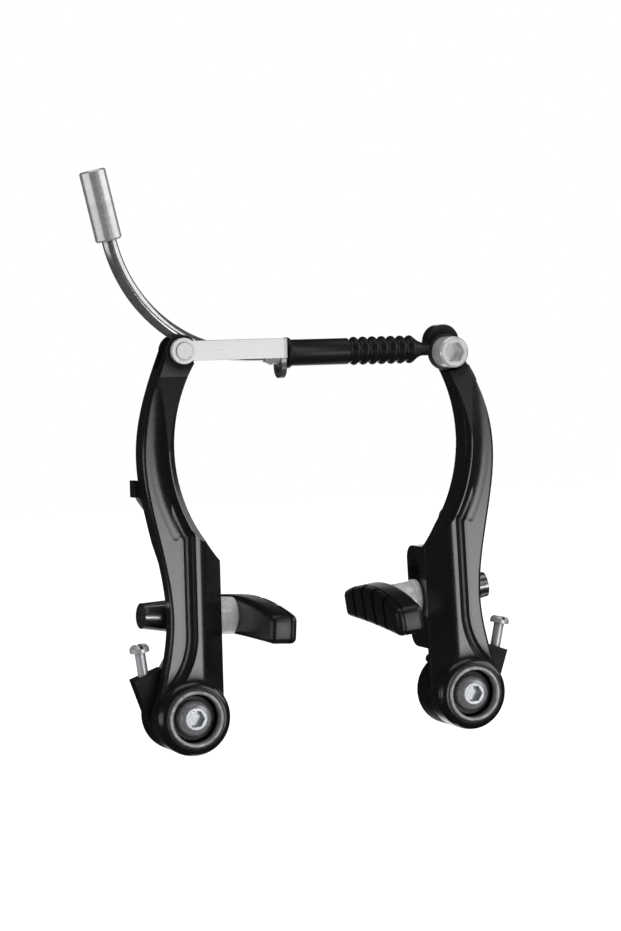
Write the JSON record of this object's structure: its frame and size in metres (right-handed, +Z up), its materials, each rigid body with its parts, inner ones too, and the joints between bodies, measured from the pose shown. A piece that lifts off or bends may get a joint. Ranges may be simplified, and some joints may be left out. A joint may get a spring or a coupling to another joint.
{
  "type": "v brake",
  "caption": "Linear-pull bicycle rim brake: sprung arms on frame studs, rubber pads facing each other, joined on top by a cable link, bent guide pipe and bellows boot.",
  "frame": {"origin": "midway between the two stud axes, on the plane of the stud shoulders", "axes": "+X towards the arm with the cable anchor, +Y along the studs into the bicycle frame, +Z up"},
  "size_m": [0.1194, 0.0508, 0.1534],
  "materials": {
    "black_paint": "gloss black paint on cast aluminium",
    "satin_steel": "satin",
    "bright_steel": "bright turned",
    "polished_chrome": "polished",
    "zinc_steel": "zinc plated",
    "dark_steel": "blackened",
    "spring_steel": "drawn wire",
    "brushed_link": "finely brushed",
    "satin_aluminium": "satin turned",
    "pad_rubber": "matte moulded",
    "boot_rubber": "satin moulded",
    "black_plastic": "fine moulded",
    "liner_plastic": "extruded"
  },
  "bodies": {
    "stud_set": {"left_pivot_bush": "satin_steel", "left_pivot_washer": "dark_steel", "left_pivot_bolt": "polished_chrome", "left_spring_housing": "black_plastic", "left_return_spring": "spring_steel", "right_pivot_bush": "satin_steel", "right_pivot_washer": "dark_steel", "right_pivot_bolt": "polished_chrome", "right_spring_housing": "black_plastic", "right_return_spring": "spring_steel"},
    "left_brake_arm": {"left_arm": "black_paint", "left_pivot_collar": "satin_steel", "left_brake_pad": "pad_rubber", "left_pad_post": "zinc_steel", "left_inner_dome_washer": "bright_steel", "left_inner_cup_washer": "bright_steel", "left_outer_dome_washer": "bright_steel", "left_outer_cup_washer": "bright_steel", "left_pad_washer": "bright_steel", "left_pad_nut": "polished_chrome", "link_pin": "bright_steel"},
    "right_brake_arm": {"right_arm": "black_paint", "right_pivot_collar": "satin_steel", "right_brake_pad": "pad_rubber", "right_pad_post": "zinc_steel", "right_inner_dome_washer": "bright_steel", "right_inner_cup_washer": "bright_steel", "right_outer_dome_washer": "bright_steel", "right_outer_cup_washer": "bright_steel", "right_pad_washer": "bright_steel", "right_pad_nut": "polished_chrome", "cable_anchor_washer": "dark_steel", "cable_anchor_bolt": "polished_chrome"},
    "link_set": {"cable_link": "brushed_link", "guide_pipe": "polished_chrome", "guide_pipe_liner": "liner_plastic", "guide_pipe_sleeve": "satin_aluminium", "guide_pipe_tip": "bright_steel", "cable_boot": "boot_rubber"},
    "left_screw": {"left_tension_screw": "zinc_steel"},
    "right_screw": {"right_tension_screw": "zinc_steel"}
  },
  "joints": [
    {"name": "left_arm_swing", "type": "hinge", "parent": "stud_set", "child": "left_brake_arm", "pos_m": [-0.04, 0, 0], "axis": [0, 1, 0], "range_deg": [0, 6], "stiffness_Nm_per_rad": 1, "springref_deg": -22.92, "deforming": ["left_return_spring", "cable_boot"]},
    {"name": "right_arm_swing", "type": "hinge", "parent": "stud_set", "child": "right_brake_arm", "pos_m": [0.04, 0, 0], "axis": [0, -1, 0], "range_deg": [0, 6], "stiffness_Nm_per_rad": 1, "springref_deg": -22.92, "deforming": ["right_return_spring"]},
    {"name": "link_swing", "type": "hinge", "parent": "left_brake_arm", "child": "link_set", "pos_m": [-0.03916, -0.012, 0.0958], "axis": [0, 1, 0], "range_deg": [-6, 0]},
    {"name": "left_screw_travel", "type": "slide", "parent": "stud_set", "child": "left_screw", "axis": [-0.1219, 0, 0.9925], "range_m": [-0.0025, 0.002]},
    {"name": "right_screw_travel", "type": "slide", "parent": "stud_set", "child": "right_screw", "axis": [0.2164, 0, 0.9763], "range_m": [-0.0025, 0.002]}
  ],
  "couplings": [
    {"joint": "right_arm_swing", "follows": "left_arm_swing", "ratio": 1},
    {"joint": "link_swing", "follows": "left_arm_swing", "ratio": -1}
  ]
}
